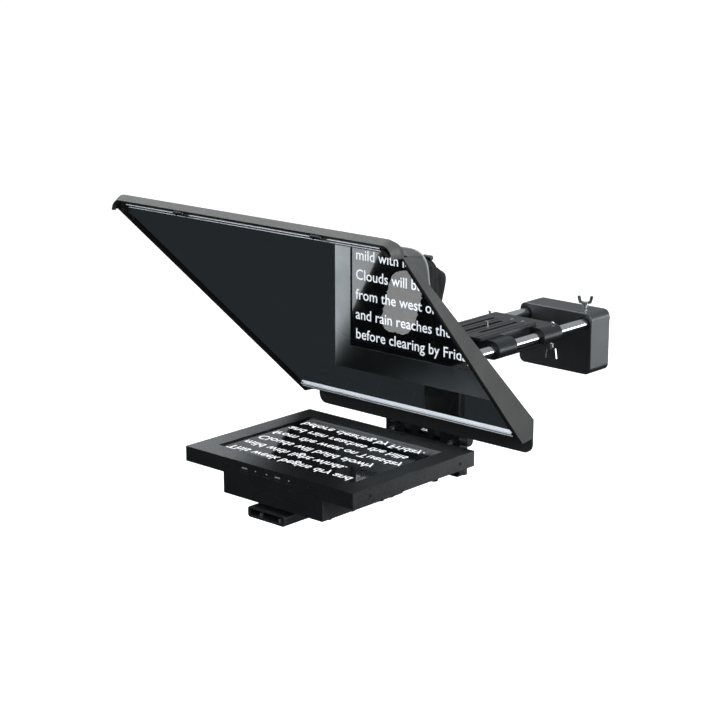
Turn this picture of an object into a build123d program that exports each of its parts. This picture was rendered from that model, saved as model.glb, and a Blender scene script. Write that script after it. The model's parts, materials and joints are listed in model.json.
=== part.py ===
from build123d import *
from math import hypot, sqrt
import os

# A camera-mounted teleprompter: a flat monitor lies face up under a sloping sheet of
# beam-splitter glass in a black hood, and two rods carry the hood, a sliding tripod
# carriage for the camera and a counterweight.
#
# Working datum: the middle of the monitor's top front edge, X to the right, Y to the rear
# (away from the presenter), Z up. Every part is moved at export so that the origin of the
# finished part is the mouth of the tripod thread under the carriage.
TRIPOD_Y = 455.0
TRIPOD_Z = 74.0

# Monitor
MON_W = 290.0
MON_D = 231.5
MON_H = 20.0
SHEET = 2.0
SCREEN_W = 234.0
SCREEN_D = 168.0
SCREEN_Y = 31.5
HOUSING_X0 = -76.0
HOUSING_X1 = 95.0
HOUSING_D = 150.0
HOUSING_Z = -47.4
FASCIA_SCREWS = [(-72.3, -10.5), (-24.0, -21.9), (40.7, -21.9), (70.1, -10.5)]
SIDE_SCREW_Y = [31.7, 202.0]
SLAB_FOOT_X = 128.0
SLAB_FOOT_Y = [68.0, 171.0]
HOUSING_FOOT_Y = [20.0, 135.0]
BOARD_X0 = -62.0
BOARD_X1 = 82.0
BOARD_Y0 = 22.0
BOARD_Y1 = 132.0
BOARD_Z = -40.0

# Front buttons: name, left x, right x, bottom z, top z
BUTTONS = [
    ("power_button", -46.1, -30.2, -16.7, -10.1),
    ("menu_button", -24.8, -12.5, -13.6, -11.0),
    ("minus_button", -5.5, 6.8, -13.6, -11.0),
    ("plus_button", 13.4, 25.7, -13.6, -11.0),
    ("source_button", 32.8, 45.1, -13.6, -11.0),
]

# Channel under the monitor and the shoe that slides on it
CHANNEL_W = 64.0
CHANNEL_TOP = -55.0
CHANNEL_H = 14.0
CHANNEL_WALL = 2.5
CHANNEL_FRONT = -1.0
CHANNEL_SCREW_X = 16.5
CHANNEL_SCREW_Y = 9.0
SHOE_Y0 = 66.0
SHOE_Y1 = 142.0
SHOE_W = 76.0
SHOE_GAP = 0.2
SHOE_BASE = -71.4
KNOB_Z = -62.0

# Glass: its front face lies on the plane y + z = GLASS_SUM, at 45 degrees
GLASS_SUM = 284.0
GLASS_T = 3.0
BAR_LOW_Y = 259.8
BAR_HIGH_Y = -25.7
BAR_SUM = 283.2
BAR_FRONT = 281.0
BAR_WIDE = 10.0
BAR_THICK = 7.6
BAR_LOW_HALF = 184.2
BAR_HIGH_HALF = 212.4

# Hood: upright side panels that splay towards the presenter
HOOD_HALF = 187.0
HOOD_REAR = 299.0
SPLAY = 0.165
PANEL_T = 3.0
PLATE_T = 3.0
PLATE_Z0 = -11.0
PLATE_Z1 = 36.0
PLATE_CORNER = 13.0
SIDE_BASE_Z = 10.0
FRONT_SUM = 280.0
REAR_TOP = (-14.0, 303.6)
REAR_SLOPE = (303.6 - 35.9) / (-14.0 - 298.0)
LIP = [(-31.2, 311.6), (-35.0, 315.2), (-24.5, 321.0), (-14.6, 316.4), (-14.6, 305.4)]
LIP_T = 2.4
LIP_HALF = 240.0
LIP_R = 20.0
CLIP_X = [-115.0, 115.0]
CLIP_Y = -32.7
GUSSET_X = [-65.0, 0.0, 65.0]
GUSSET = [(271.6, 21.6), (291.0, 46.5), (310.4, 46.5), (310.4, 12.5), (298.0, 12.5), (280.0, 16.0)]

# Fabric shroud, its ring of piping and the lens sock
RING_HALF = 87.0
RING_TOP = (200.0, 255.0)
RING_LOW = (221.0, 116.0)
RING_CORNER = 18.0
RIM_CORNER = 6.0
FABRIC_T = 2.0
CUFF_HALF = 60.0
CUFF_TOP = (274.0, 212.0)
CUFF_LOW = (243.0, 119.0)
CUFF_CORNER = 20.0
LENS_HALF_X = 32.0
LENS_HALF_Z = 41.0
LENS_Z = 168.0
LENS_R = 22.0
TOGGLE = (62.0, 234.0, 239.6)
SEAM_APEX = (0.0, 60.0, 130.0)

# Hinge between the hood and its block
PIN_Y = 305.0
PIN_Z = -18.0
PIN_R = 3.0
RUN = 0.05
BLOCK_HALF = 65.0
BLOCK_FRONT = 299.5
BLOCK_TOP = -12.0
BLOCK_BASE = -70.0
KNUCKLE_X = [-26.0, 26.0]
SLOT_W = 11.0
MAST_FRONT = 311.0
MAST_T = 7.0
MAST_HALF = 64.0
MAST_TOP = 100.0

# Rods, carriage and counterweight
ROD_X = 51.6
ROD_Z = 87.0
ROD_R = 7.5
ROD_BORE = 4.1
ROD_END = 648.0
CAR_Y0 = 384.0
CAR_Y1 = 526.0
SADDLE_1 = 423.0
SADDLE_2 = 485.0
SADDLE_R = 13.0
CAR_CORE = 38.0
PLATE_HALF = 41.0
PLATE_Y0 = 372.0
PLATE_Y1 = 498.0
PLATE_TOP = 105.0
SLOT_X = 20.0
HEAD_SUNK = 2.0
CAM_SCREW_Y = 437.0
CLAMP_Y = 516.0
SET_SCREW = (56.0, 515.0)
WEIGHT_HALF = 64.0
WEIGHT_Y0 = 596.6
WEIGHT_Y1 = 642.7
WEIGHT_Z0 = 11.6
WEIGHT_Z1 = 101.9
WEIGHT_CORNER = 10.0
WEIGHT_SCREW = (33.0, 624.0)


def block(x0, x1, y0, y1, z0, z1):
    """A box between two corners."""
    return Pos((x0 + x1) / 2, (y0 + y1) / 2, (z0 + z1) / 2) * Box(x1 - x0, y1 - y0, z1 - z0)


def side_profile(points, x0, x1):
    """A shape drawn on the Y-Z plane and extruded from x0 to x1."""
    return extrude(Plane.YZ.offset(x0) * Polygon(*points, align=None), x1 - x0, dir=(1, 0, 0))


def rod_x(y, z, r, x0, x1):
    return Pos((x0 + x1) / 2, y, z) * Rot(0, 90, 0) * Cylinder(r, x1 - x0)


def rod_y(x, z, r, y0, y1):
    return Pos(x, (y0 + y1) / 2, z) * Rot(90, 0, 0) * Cylinder(r, y1 - y0)


def rod_z(x, y, r, z0, z1):
    return Pos(x, y, (z0 + z1) / 2) * Cylinder(r, z1 - z0)


def parallel(points, gap):
    """The line that runs beside an open line of points, on its right, with mitred corners."""
    steps = [Vector(*b) - Vector(*a) for a, b in zip(points, points[1:])]
    normals = [Vector(s.Y, -s.X).normalized() for s in steps]
    beside = []
    for point, before, after in zip(points, [normals[0], *normals], [*normals, normals[-1]]):
        middle = (before + after).normalized()
        place = Vector(*point) + middle * (gap / middle.dot(before))
        beside.append((place.X, place.Y))
    return beside


def on_glass(y, depth, x=0.0):
    """A place on the 45 degree glass: y along it, depth behind the plane through the bars."""
    step = depth / sqrt(2)
    return (x, y + step, BAR_SUM - y + step)


def glass_slab(front, back, y_low, y_high, half):
    """A slab parallel to the glass between two values of y + z."""
    points = []
    for total, y in ((front, y_low), (front, y_high), (back, y_high), (back, y_low)):
        lift = (total - BAR_SUM) / 2
        points.append((y + lift, BAR_SUM - y + lift))
    return side_profile(points, -half, half)


def wedge(inset):
    """The space between the splayed side panels, inset from their outer faces."""
    cut = inset * hypot(1, SPLAY)
    rear_y = HOOD_REAR + 20
    front_y = -60.0
    rear_x = HOOD_HALF + SPLAY * (HOOD_REAR - rear_y) - cut
    front_x = HOOD_HALF + SPLAY * (HOOD_REAR - front_y) - cut
    outline = [(-rear_x, rear_y), (rear_x, rear_y), (front_x, front_y), (-front_x, front_y)]
    return extrude(Plane.XY.offset(-80) * Polygon(*outline, align=None), 480, dir=(0, 0, 1))


def wing_screw(x, y, tip, hub, wing, lie=0.0):
    """A wing screw on a vertical axis: threaded tip, round hub and a pair of wings."""
    low, high = min(tip, hub), max(tip, hub)
    down = -1 if wing < hub else 1
    shape = rod_z(x, y, 3.0, low, high) + rod_z(x, y, 4.6, min(hub, hub + down * 8), max(hub, hub + down * 8))
    top = hub + down * 5
    ears = [(2.0, top), (9.0, top + down * 2), (11.5, wing), (10.6, wing + down * 1.6), (7.2, wing + down * 1.8)]
    ears += [(5.6, top + down * 5), (2.0, top + down * 4)]
    ears += [(-a, b) for a, b in reversed(ears)]
    plate = extrude(Plane.XZ.offset(-1.4) * Polygon(*ears, align=None), 2.8, dir=(0, -1, 0))
    return shape + Pos(x, y, 0) * Rot(0, 0, lie) * plate


# ---------------------------------------------------------------- monitor


def monitor_case():
    half = MON_W / 2
    case = block(-half, half, SHEET, MON_D, -MON_H, 0)
    case = fillet(case.edges().filter_by(Axis.Z).group_by(Axis.Y)[-1], 1.2)
    case -= block(-half + SHEET, half - SHEET, 2 * SHEET, MON_D - SHEET, -MON_H - 1, -SHEET)
    case -= block(-SCREEN_W / 2, SCREEN_W / 2, SCREEN_Y, SCREEN_Y + SCREEN_D, -5, 1)
    case -= block(-52, 52, 0, 3 * SHEET, -18, -6)
    for x, z in FASCIA_SCREWS:
        if z > -MON_H:
            case -= rod_y(x, z, 1.4, 0, 6)
    for y in SIDE_SCREW_Y:
        case -= rod_x(y, -10.5, 1.4, -half - 1, half + 1)
    return case


def front_fascia():
    half = MON_W / 2
    plate = block(-half, half, 0, SHEET, -MON_H, 0)
    plate += block(HOUSING_X0, HOUSING_X1, 0, SHEET, HOUSING_Z, -MON_H)
    for _, x0, x1, z0, z1 in BUTTONS:
        plate -= block(x0 - 0.2, x1 + 0.2, -1, 3, z0 - 0.2, z1 + 0.2)
    for x, z in FASCIA_SCREWS:
        plate -= rod_y(x, z, 1.4, -1, 3)
    return plate


def monitor_back_cover():
    half = MON_W / 2 - SHEET - 0.1
    cover = block(-half, half, 2 * SHEET + 0.1, MON_D - SHEET - 0.1, -MON_H, -MON_H + 1.5)
    return cover - block(-30, 30, 60, 100, -MON_H - 1, -MON_H + 3)


def electronics_housing():
    wall = 1.5
    tray = block(HOUSING_X0, HOUSING_X1, SHEET, HOUSING_D, HOUSING_Z, -MON_H)
    tray = fillet(tray.edges().filter_by(Axis.X).group_by(Axis.Z)[0].sort_by(Axis.Y)[-1], 2.5)
    tray -= block(HOUSING_X0 + wall, HOUSING_X1 - wall, SHEET + wall, HOUSING_D - wall, HOUSING_Z + wall, -MON_H + 1)
    for x, z in FASCIA_SCREWS:
        tray -= rod_y(x, z, 1.4, 0, 6)
    tray -= block(-41, -24.9, HOUSING_D - 3, HOUSING_D + 1, -40, -32.6)
    tray -= rod_y(30, -36, 5.2, HOUSING_D - 3, HOUSING_D + 1)
    for n in range(9):
        x = 52 + 4 * n
        tray -= block(x, x + 1.8, HOUSING_D - 3, HOUSING_D + 1, -42, -28)
    return tray


def screen_glass():
    return block(-SCREEN_W / 2 - 4, SCREEN_W / 2 + 4, SCREEN_Y - 3, SCREEN_Y + SCREEN_D + 4, -4.2, -2.0)


def lcd_panel():
    panel = block(-SCREEN_W / 2 - 3.5, SCREEN_W / 2 + 3.5, SCREEN_Y - 2.5, SCREEN_Y + SCREEN_D + 3.5, -13.0, -4.2)
    return panel + block(-60, 60, 60, 150, -15.5, -13.0)


def driver_board():
    board = block(BOARD_X0, BOARD_X1, BOARD_Y0, BOARD_Y1, BOARD_Z, BOARD_Z + 1.6)
    top = BOARD_Z + 1.6
    board += block(-20, -2, 60, 78, top, top + 2.4)
    board += block(30, 42, 50, 62, top, top + 1.8)
    board += block(-50, -32, 90, 104, top, top + 9)
    for n in range(4):
        board += rod_z(10 + 13 * n, 100, 4.5, top, top + 11)
    for n in range(5):
        board += block(50 + 5 * n, 53 + 5 * n, 74, 80, top, top + 1.2)
    for x, y in board_fixings():
        board -= rod_z(x, y, 1.6, BOARD_Z - 1, top + 1)
    return board


def board_fixings():
    return [(x, y) for x in (BOARD_X0 + 5, BOARD_X1 - 5) for y in (BOARD_Y0 + 5, BOARD_Y1 - 5)]


def board_standoffs():
    floor = HOUSING_Z + 1.5
    posts = []
    for x, y in board_fixings():
        posts.append(rod_z(x, y, 3.0, floor, BOARD_Z) + rod_z(x, y, 1.5, BOARD_Z, BOARD_Z + 3))
    return Compound(children=posts)


def button_board():
    board = block(-50, 50, 8.0, 9.6, -17.5, -6.5)
    for _, x0, x1, z0, z1 in BUTTONS:
        x, z = (x0 + x1) / 2, (z0 + z1) / 2
        board += block(x - 1.9, x + 1.9, 6.9, 8.0, z - 1.9, z + 1.9)
    return board


def button(x0, x1, z0, z1):
    cap = block(x0, x1, -0.6, 2.3, z0, z1)
    cap = chamfer(cap.faces().sort_by(Axis.Y)[0].edges(), 0.25)
    cap += block(x0 - 0.9, x1 + 0.9, 2.3, 3.3, z0 - 0.9, z1 + 0.9)
    return cap + block((x0 + x1) / 2 - 1.5, (x0 + x1) / 2 + 1.5, 3.3, 5.9, z0, z1)


def rear_sockets():
    hdmi = block(-40.9, -25, 136, HOUSING_D + 2, -38.3, -32.7)
    hdmi -= block(-39.9, -26, 140, HOUSING_D + 3, -37.7, -33.3)
    jack = rod_y(30, -36, 5.1, 136, HOUSING_D + 3)
    jack -= rod_y(30, -36, 3.1, 141, HOUSING_D + 4)
    jack += rod_y(30, -36, 0.8, 141, 150)
    floor = BOARD_Z + 1.6
    hdmi += block(-40.9, -25, 125, 136, floor, -32.7)
    jack += block(25.5, 34.5, 125, 136.5, floor, -32.5)
    return Compound(children=[hdmi, jack])


def monitor_screws():
    screws = []
    for x, z in FASCIA_SCREWS:
        screws.append(rod_y(x, z, 2.4, -0.7, 0) + rod_y(x, z, 1.3, 0, 5.5))
    half = MON_W / 2
    for side in (-1, 1):
        for y in SIDE_SCREW_Y:
            head = sorted((side * half, side * (half + 0.7)))
            shank = sorted((side * (half - 5), side * half))
            screws.append(rod_x(y, -10.5, 2.4, *head) + rod_x(y, -10.5, 1.3, *shank))
    return Compound(children=screws)


def rubber_feet():
    feet = []
    for x in (-SLAB_FOOT_X, SLAB_FOOT_X):
        for y in SLAB_FOOT_Y:
            feet.append(Pos(x, y, -MON_H - 4.5) * Cone(5.0, 6.5, 9.0))
    for x in (HOUSING_X0 + 9, HOUSING_X1 - 9):
        for y in HOUSING_FOOT_Y:
            feet.append(Pos(x, y, HOUSING_Z - 1.6) * Cone(4.6, 5.4, 3.2))
    return Compound(children=feet)


def monitor_channel():
    low = CHANNEL_TOP - CHANNEL_H
    length = BLOCK_FRONT - CHANNEL_FRONT
    middle = Plane.XZ * Pos(0, CHANNEL_TOP - CHANNEL_H / 2)
    outer = middle * RectangleRounded(CHANNEL_W, CHANNEL_H, 3.5)
    inner = middle * RectangleRounded(CHANNEL_W - 2 * CHANNEL_WALL, CHANNEL_H - 2 * CHANNEL_WALL, 1.4)
    tube = Pos(0, BLOCK_FRONT, 0) * extrude(outer - inner, length)
    for x in (-CHANNEL_SCREW_X, CHANNEL_SCREW_X):
        tube -= rod_z(x, CHANNEL_SCREW_Y, 2.05, low - 1, low + CHANNEL_WALL + 1)
    for y in (185.0, 235.0):
        tube -= block(-22, 22, y, y + 8, CHANNEL_TOP - 5, CHANNEL_TOP + 1)
    return tube


def channel_screws():
    low = CHANNEL_TOP - CHANNEL_H
    floor = low + CHANNEL_WALL
    screws = []
    for x in (-CHANNEL_SCREW_X, CHANNEL_SCREW_X):
        head = rod_z(x, CHANNEL_SCREW_Y, 3.4, floor, floor + 3.4)
        head -= Pos(x, CHANNEL_SCREW_Y, floor + 3.4) * extrude(RegularPolygon(1.5, 6), -1.6)
        screws.append(head + rod_z(x, CHANNEL_SCREW_Y, 2.0, low - 2.5, floor))
    return Compound(children=screws)


def slide_shoe():
    half = SHOE_W / 2
    wall = CHANNEL_W / 2 + SHOE_GAP
    shoe = block(-half, half, SHOE_Y0, SHOE_Y1, SHOE_BASE, HOUSING_Z)
    floor = CHANNEL_TOP - CHANNEL_H - SHOE_GAP
    shoe -= block(-wall, wall, SHOE_Y0 - 1, SHOE_Y1 + 1, floor, CHANNEL_TOP + SHOE_GAP)
    shoe -= block(-wall + 6, wall - 6, SHOE_Y0 - 1, SHOE_Y1 + 1, SHOE_BASE - 1, floor + 1)
    shoe -= rod_x((SHOE_Y0 + SHOE_Y1) / 2, KNOB_Z, PIN_R + RUN, wall - 1, half + 1)
    return chamfer(shoe.edges().filter_by(Axis.Z).group_by(Axis.Y)[0], 1.0)


def slide_knob():
    y = (SHOE_Y0 + SHOE_Y1) / 2
    half = SHOE_W / 2
    knob = rod_x(y, KNOB_Z, 8.5, half + 2.0, half + 15.0)
    knob = chamfer(knob.edges().group_by(Axis.X)[-1], 1.0)
    for n in range(12):
        knob -= Pos(0, y, KNOB_Z) * Rot(30 * n, 0, 0) * rod_x(9.2, 0, 1.3, half + 1, half + 16)
    return knob + rod_x(y, KNOB_Z, PIN_R, CHANNEL_W / 2 + 0.15, half + 3)


# ---------------------------------------------------------------- hood


def side_panel(side):
    """A splayed upright panel: front edge beside the glass, rear edge against the fabric."""
    rear_y = HOOD_REAR - PLATE_T - 0.2
    front = FRONT_SUM - SIDE_BASE_Z
    points = [(front, SIDE_BASE_Z), (LIP[1][0], FRONT_SUM - LIP[1][0]), (-26.5, 321.4), (-19.0, 320.6)]
    points += [(-13.0, 314.5), REAR_TOP, (rear_y, rear_edge(rear_y)), (rear_y, SIDE_BASE_Z)]
    stretch = hypot(1, SPLAY)
    start = (side * HOOD_HALF, HOOD_REAR, 0)
    plane = Plane(origin=start, x_dir=(-side * SPLAY, 1, 0), z_dir=(1, side * SPLAY, 0))
    flat = [((y - HOOD_REAR) * stretch, z) for y, z in points]
    panel = extrude(plane * Polygon(*flat, align=None), PANEL_T, dir=(-side, -SPLAY, 0))
    return panel - block(-260, 260, -60, REAR_TOP[0] + 1.2, LIP[2][1] - LIP_R, 340)


def top_lip():
    """Folded lip over the top glass bar, turned down at both ends onto the side panels."""
    section = Polygon(*LIP, *reversed(parallel(LIP, LIP_T)), align=None)
    straight = LIP_HALF - LIP_R
    lip = extrude(Plane.YZ.offset(-straight) * section, 2 * straight, dir=(1, 0, 0))
    glass = glass_slab(GLASS_SUM - 0.4, GLASS_SUM + GLASS_T * sqrt(2) + 0.4, BAR_LOW_Y, BAR_HIGH_Y, 300)
    glass = glass & wedge(PANEL_T + 2.0)
    for side in (-1, 1):
        axis = Axis((side * straight, 0, LIP[2][1] - LIP_R), (0, side, 0))
        lip += revolve(Plane.YZ.offset(side * straight) * section, axis, 90) - glass
    for x in CLIP_X:
        lip -= clip_axis(x) * Cylinder(PIN_R / 2 + RUN, 12)
    return lip


def clip_axis(x):
    """A frame on the lip with Z along the glass's normal, towards the presenter."""
    return Location(Plane(origin=(x, CLIP_Y, 280.3 - CLIP_Y), x_dir=(1, 0, 0), z_dir=(0, -1, -1)))


def glass_clip(x):
    """A turn clip: a rounded lever on a short pivot."""
    lever = extrude(SlotOverall(18, 5.6), 2.2)
    lever = Pos(4.2, 0, 1.3) * lever
    pivot = Pos(0, 0, -0.2) * Cylinder(PIN_R / 2, 4.4)
    cap = Pos(0, 0, 3.9) * Cylinder(2.2, 1.0)
    return clip_axis(x) * (lever + pivot + cap)


def glass_bar(y, half, inward):
    """An aluminium channel along the glass with two ridges on its face."""
    run = BAR_WIDE / 2 / sqrt(2)
    bar = glass_slab(BAR_FRONT, BAR_FRONT + BAR_THICK * sqrt(2), y + run, y - run, half)
    for side in (-1, 1):
        ridge_y = y + side * run * 0.5
        lift = (BAR_FRONT - BAR_SUM) / 2
        bar += rod_x(ridge_y + lift, BAR_SUM - ridge_y + lift, 1.5, -half, half)
    slot = 0.1 * sqrt(2)
    back = GLASS_SUM + GLASS_T * sqrt(2)
    low, high = sorted((y, y + inward * BAR_WIDE))
    return bar - glass_slab(GLASS_SUM - slot, back + slot, high, low, half + 1)


def beam_splitter():
    back = GLASS_SUM + GLASS_T * sqrt(2)
    return glass_slab(GLASS_SUM, back, BAR_LOW_Y - 0.5, BAR_HIGH_Y + 0.5, 300) & wedge(PANEL_T + 2.2)


def glass_seals():
    """Rubber edging on both sloping sides of the glass, between the bars and the panels."""
    low, high = BAR_LOW_Y - 6, BAR_HIGH_Y + 22
    strip = glass_slab(FRONT_SUM + 2, GLASS_SUM + 6.2, low, high, 300) & wedge(PANEL_T + 0.2)
    strip -= wedge(PANEL_T + 6.0)
    slot = 0.05 * sqrt(2)
    back = GLASS_SUM + GLASS_T * sqrt(2)
    return strip - (glass_slab(GLASS_SUM - slot, back + slot, low + 9, high - 9, 300) & wedge(PANEL_T + 2.1))


def bar_end_caps():
    caps = []
    for side in (-1, 1):
        place = on_glass(BAR_HIGH_Y + 2.0, 0.3, side * (BAR_HIGH_HALF + 4.2))
        centre = Plane(origin=place, x_dir=(1, 0, 0), z_dir=(0, -1, -1))
        caps.append(centre * extrude(RectangleRounded(8.0, 13.0, 3.6), 3.6))
    return Compound(children=caps)


def hood_back_plate():
    high = PLATE_Z1
    plate = block(-HOOD_HALF, HOOD_HALF, HOOD_REAR - PLATE_T, HOOD_REAR, PLATE_Z0, high)
    low = plate.edges().filter_by(Axis.Y).group_by(Axis.Z)[0]
    plate = fillet(low, PLATE_CORNER)
    plate -= block(-17, 17, HOOD_REAR - PLATE_T - 1, HOOD_REAR + 1, 10.6, 14.6)
    for x in GUSSET_X:
        plate -= block(x - 1.7, x + 1.7, HOOD_REAR - PLATE_T - 1, HOOD_REAR + 1, 12.0, high + 1)
    return plate


def hood_gussets():
    return Compound(children=[side_profile(GUSSET, x - 1.5, x + 1.5) for x in GUSSET_X])


def hinge_leaf():
    leaf = block(-58, 58, HOOD_REAR, HOOD_REAR + 3, PIN_Z + 8, 8.0)
    for x in KNUCKLE_X:
        half = SLOT_W / 2 - 0.3
        leaf += block(x - half, x + half, HOOD_REAR + 0.6, HOOD_REAR + 3, PIN_Z, PIN_Z + 9)
        leaf += rod_x(PIN_Y, PIN_Z, 5.2, x - half, x + half)
        leaf -= rod_x(PIN_Y, PIN_Z, PIN_R + RUN, x - half - 1, x + half + 1)
    return leaf


def ring_plane(behind):
    """The slightly leaning plane of the piping ring, moved to the rear."""
    (y1, z1), (y0, z0) = RING_TOP, RING_LOW
    away = Vector(0, z1 - z0, y0 - y1).normalized()
    return Plane(origin=Vector(0, (y0 + y1) / 2, (z0 + z1) / 2) + away * behind, x_dir=(1, 0, 0), z_dir=-away)


def ring_corners(behind, extra):
    high = hypot(RING_TOP[0] - RING_LOW[0], RING_TOP[1] - RING_LOW[1]) / 2 + extra
    wide = RING_HALF + extra
    plane = ring_plane(behind)
    corners = [(-wide, -high), (wide, -high), (wide, high), (-wide, high)]
    return [plane.from_local_coords(Vector(*corner)) for corner in corners]


def rim_corners(inset, behind):
    """Corners of the hood's rear opening between the panels, the plate and the lip."""
    top, low = Vector(0, *REAR_TOP), Vector(0, HOOD_REAR - 1, rear_edge(HOOD_REAR - 1))
    down = (low - top).normalized()
    away = Vector(1, 0, 0).cross(down)
    corners = []
    low, top = low - down * inset, top + down * inset
    for place, side in ((low, -1), (low, 1), (top, 1), (top, -1)):
        half = HOOD_HALF + SPLAY * (HOOD_REAR - place.Y) - inset
        corners.append(place + away * behind + Vector(side * half, 0, 0))
    return corners


def rear_edge(y):
    """Height of the side panels' sloping rear edge."""
    return REAR_TOP[1] + REAR_SLOPE * (y - REAR_TOP[0])


def cuff_corners(behind, extra):
    (y1, z1), (y0, z0) = CUFF_TOP, CUFF_LOW
    up = Vector(0, y1 - y0, z1 - z0).normalized()
    away = Vector(0, up.Z, -up.Y) * behind
    wide = CUFF_HALF + extra
    low, high = Vector(0, y0, z0) - up * extra + away, Vector(0, y1, z1) + up * extra + away
    side = Vector(wide, 0, 0)
    return [low - side, low + side, high + side, high - side]


def cut_corners(corners, cut):
    loop = []
    for n, corner in enumerate(corners):
        for other in (corners[n - 1], corners[(n + 1) % 4]):
            loop.append(corner + (other - corner).normalized() * cut)
    return loop


def skin(first, second):
    """A solid between two loops with the same number of points, with flat three-sided facets."""
    faces = [Face(Wire.make_polygon(first)), Face(Wire.make_polygon(second))]
    for n, a in enumerate(first):
        m = (n + 1) % len(first)
        b, c, d = first[m], second[m], second[n]
        halves = [(a, b, d), (b, c, d)] if a.X + b.X < -1 else [(a, b, c), (a, c, d)]
        faces += [Face(Wire.make_polygon(list(half))) for half in halves]
    return Solid(Shell(faces))


def fabric_shroud():
    """A hollow tent of fabric from the hood's rear opening to the piping ring, in four sewn panels."""
    rim = cut_corners(rim_corners(0.6, 0.15), RIM_CORNER)
    low = [corner - Vector(0, 0, 1.3) for corner in ring_corners(-1.6, 0)[:2]]
    outer = skin(rim, cut_corners(low + ring_corners(-1.6, 0)[2:], RING_CORNER))
    rim = cut_corners(rim_corners(0.6 + FABRIC_T * 1.6, -0.4), RIM_CORNER)
    under = Vector(0, -1.3, -1.5) * (FABRIC_T / 2)
    ring = [corner + under for corner in low] + ring_corners(-1.0, -FABRIC_T)[2:]
    height = hypot(RING_TOP[0] - RING_LOW[0], RING_TOP[1] - RING_LOW[1]) - 2 * FABRIC_T
    hole = ring_plane(2.0) * RectangleRounded(2 * (RING_HALF - FABRIC_T), height, RING_CORNER * 1.5)
    shroud = outer - skin(rim, cut_corners(ring, RING_CORNER))
    shroud -= extrude(hole, 8.0, dir=ring_plane(0).z_dir)
    shroud -= shroud_piping()
    for x in GUSSET_X:
        shroud -= block(x - 1.8, x + 1.8, GUSSET[0][0] + 8, HOOD_REAR, PLATE_Z1 - 6, GUSSET[1][1] + 3)
    seams = list(zip(rim_corners(0, 0), ring_corners(0, 0)))
    panels = {}
    for n, name in enumerate(("shroud_bottom", "shroud_right", "shroud_top", "shroud_left")):
        first, second = seams[n], seams[(n + 1) % 4]
        middle = (first[0] + first[1] + second[0] + second[1]) * 0.25
        panels[name] = shroud & seam_side(*first, middle) & seam_side(*second, middle)
    return panels


def seam_side(start, end, middle):
    """All the space on one panel's side of the plane through a seam and the tent's axis point."""
    apex = Vector(*SEAM_APEX)
    normal = (start - apex).cross(end - apex).normalized()
    if normal.dot(middle - apex) < 0:
        normal = -normal
    return Plane(origin=apex, z_dir=normal) * Pos(0, 0, 500) * Box(1000, 1000, 1000)


def shroud_piping():
    height = hypot(RING_TOP[0] - RING_LOW[0], RING_TOP[1] - RING_LOW[1])
    outer = RectangleRounded(2 * RING_HALF + 2.4, height + 2.4, RING_CORNER * 1.5)
    inner = RectangleRounded(2 * RING_HALF - 3.6, height - 3.6, RING_CORNER * 1.5 - 3.0)
    return extrude(ring_plane(1.5) * (outer - inner), 3.0, dir=ring_plane(0).z_dir)


def lens_sock():
    """A soft sleeve behind the piping ring, closed at its end but for the elastic lens opening."""
    outer = skin(cut_corners(ring_corners(1.6, 0), RING_CORNER), cut_corners(cuff_corners(0, 0), CUFF_CORNER))
    cuff = cut_corners(cuff_corners(-FABRIC_T, -FABRIC_T), CUFF_CORNER)
    sleeve = outer - skin(cut_corners(ring_corners(1.0, -FABRIC_T), RING_CORNER), cuff)
    mouth = Plane.XZ * Pos(0, LENS_Z) * RectangleRounded(2 * LENS_HALF_X, 2 * LENS_HALF_Z, LENS_R)
    return sleeve - Pos(0, CUFF_TOP[0], 0) * extrude(mouth, 36)


def cord_toggle():
    """The spring toggle of the sock's drawstring, lying on top of the sleeve."""
    body = rod_x(*TOGGLE[1:], 3.4, TOGGLE[0] - 7, TOGGLE[0] + 7)
    return chamfer(body.edges(), 0.8)


# ---------------------------------------------------------------- hinge block and mast


def hinge_block():
    body = block(-BLOCK_HALF, BLOCK_HALF, BLOCK_FRONT, MAST_FRONT, BLOCK_BASE, BLOCK_TOP)
    low = PIN_Z - 6.5
    for x in KNUCKLE_X:
        body -= block(x - SLOT_W / 2, x + SLOT_W / 2, BLOCK_FRONT - 1, MAST_FRONT + 1, low, BLOCK_TOP + 1)
    body -= block(-6, 9, BLOCK_FRONT - 1, PIN_Y + 4, PIN_Z - 4, BLOCK_TOP + 1)
    for side in (-1, 1):
        for inner, outer, floor in ((49, 61, PIN_Z + 3.6), (37, 44, PIN_Z + 3.6)):
            a, b = sorted((side * inner, side * outer))
            body -= block(a, b, BLOCK_FRONT - 1, PIN_Y - 1, floor, BLOCK_TOP + 1)
    body -= rod_x(PIN_Y, PIN_Z, PIN_R + RUN, -46, BLOCK_HALF + 1)
    for x, z in block_screw_places():
        body -= rod_y(x, z, 2.55, BLOCK_FRONT - 1, MAST_FRONT + 1)
    corner = body.edges().filter_by(Axis.Y).group_by(Axis.Z)[0]
    return fillet(corner, 4.0)


def block_screw_places():
    return [(x, z) for x in (-51.0, 51.0) for z in (-24.6, -58.0)]


def block_screws():
    screws = []
    for x, z in block_screw_places():
        head = rod_y(x, z, 4.2, BLOCK_FRONT - 4.4, BLOCK_FRONT)
        head = chamfer(head.edges().group_by(Axis.Y)[0], 0.7)
        head -= rod_y(x, z, 2.0, BLOCK_FRONT - 5, BLOCK_FRONT - 2.4)
        screws.append(head + rod_y(x, z, 2.5, BLOCK_FRONT, MAST_FRONT + MAST_T - 1))
    return screws


def hinge_pin():
    return rod_x(PIN_Y, PIN_Z, PIN_R, -45, 76)


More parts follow.
